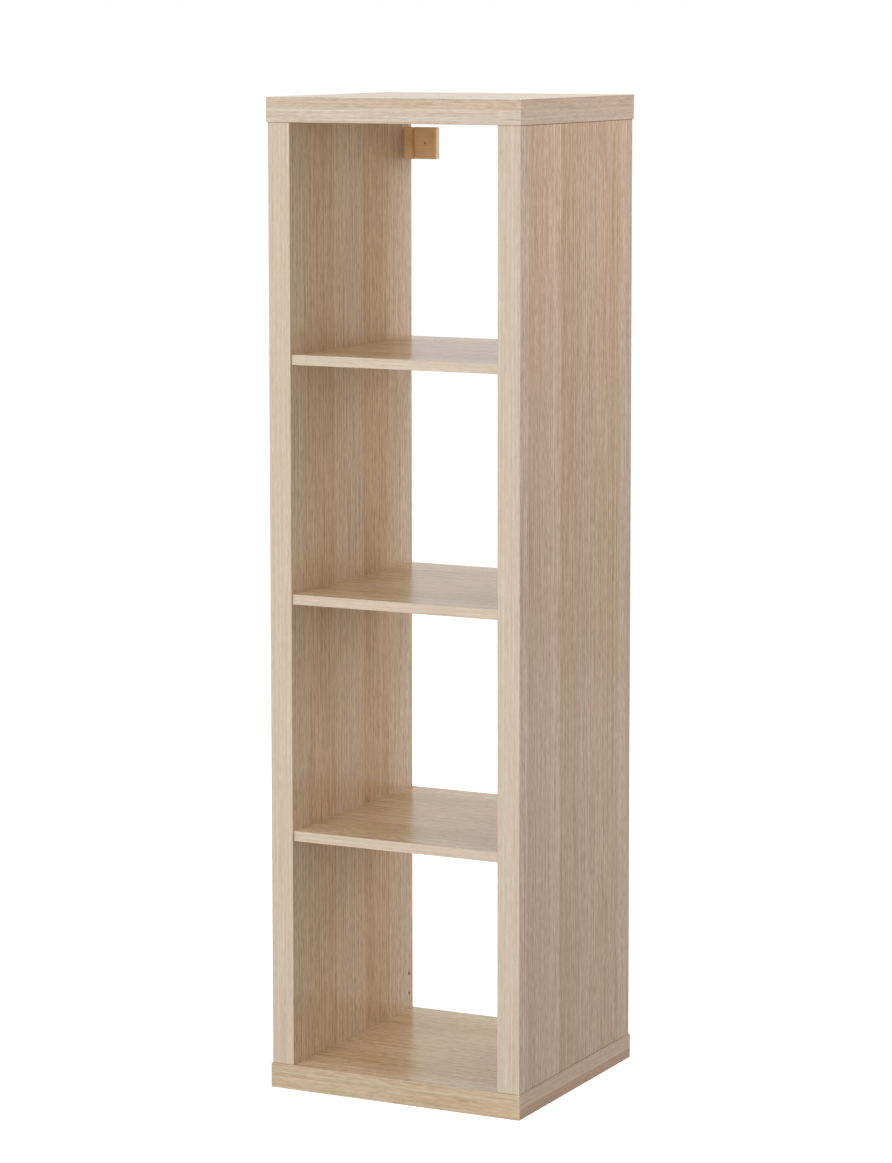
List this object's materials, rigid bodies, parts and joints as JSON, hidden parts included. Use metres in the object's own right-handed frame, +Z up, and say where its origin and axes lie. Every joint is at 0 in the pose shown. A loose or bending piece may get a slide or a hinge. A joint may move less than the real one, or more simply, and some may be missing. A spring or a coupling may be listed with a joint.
{
  "type": "cube shelving unit",
  "caption": "Tall narrow open shelving unit of stacked square compartments, with thick hollow-core slabs and sides, thin fixed shelves, no back and small wall brackets.",
  "frame": {"origin": "on the floor, under the middle of the bottom slab", "axes": "+Z up, +X to the right as seen from the open front, -Y out of the front, +Y to the wall"},
  "size_m": [0.41, 0.39, 1.47],
  "materials": {
    "foiled_fibreboard": "pale oak-look foil, satin",
    "foiled_particleboard": "pale oak-look foil, satin",
    "edge_band": "pale oak-look foil, satin",
    "particleboard_frame": "raw particleboard",
    "honeycomb_paper": "raw brown paper",
    "screw_steel": "zinc-plated",
    "dowel_beech": "raw beech",
    "pin_beech": "raw beech",
    "bracket_wood": "clear-lacquered wood"
  },
  "bodies": {
    "root": {"bottom_dowels": "dowel_beech", "bottom_screws": "screw_steel", "bottom_slab_core": "honeycomb_paper", "bottom_slab_front_band": "edge_band", "bottom_slab_front_rail": "particleboard_frame", "bottom_slab_left_band": "edge_band", "bottom_slab_left_rail": "particleboard_frame", "bottom_slab_lower_skin": "foiled_fibreboard", "bottom_slab_rear_band": "edge_band", "bottom_slab_rear_rail": "particleboard_frame", "bottom_slab_right_band": "edge_band", "bottom_slab_right_rail": "particleboard_frame", "bottom_slab_upper_skin": "foiled_fibreboard", "bracket_pins": "pin_beech", "left_panel_core": "honeycomb_paper", "left_panel_front_band": "edge_band", "left_panel_front_stile": "particleboard_frame", "left_panel_inner_skin": "foiled_fibreboard", "left_panel_lower_block": "particleboard_frame", "left_panel_outer_skin": "foiled_fibreboard", "left_panel_rear_band": "edge_band", "left_panel_rear_stile": "particleboard_frame", "left_panel_upper_block": "particleboard_frame", "left_wall_bracket": "bracket_wood", "lower_shelf_board": "foiled_particleboard", "lower_shelf_front_band": "edge_band", "lower_shelf_rear_band": "edge_band", "middle_shelf_board": "foiled_particleboard", "middle_shelf_front_band": "edge_band", "middle_shelf_rear_band": "edge_band", "right_panel_core": "honeycomb_paper", "right_panel_front_band": "edge_band", "right_panel_front_stile": "particleboard_frame", "right_panel_inner_skin": "foiled_fibreboard", "right_panel_lower_block": "particleboard_frame", "right_panel_outer_skin": "foiled_fibreboard", "right_panel_rear_band": "edge_band", "right_panel_rear_stile": "particleboard_frame", "right_panel_upper_block": "particleboard_frame", "right_wall_bracket": "bracket_wood", "shelf_dowels": "dowel_beech", "top_dowels": "dowel_beech", "top_screws": "screw_steel", "top_slab_core": "honeycomb_paper", "top_slab_front_band": "edge_band", "top_slab_front_rail": "particleboard_frame", "top_slab_left_band": "edge_band", "top_slab_left_rail": "particleboard_frame", "top_slab_lower_skin": "foiled_fibreboard", "top_slab_rear_band": "edge_band", "top_slab_rear_rail": "particleboard_frame", "top_slab_right_band": "edge_band", "top_slab_right_rail": "particleboard_frame", "top_slab_upper_skin": "foiled_fibreboard", "upper_shelf_board": "foiled_particleboard", "upper_shelf_front_band": "edge_band", "upper_shelf_rear_band": "edge_band"}
  },
  "joints": []
}
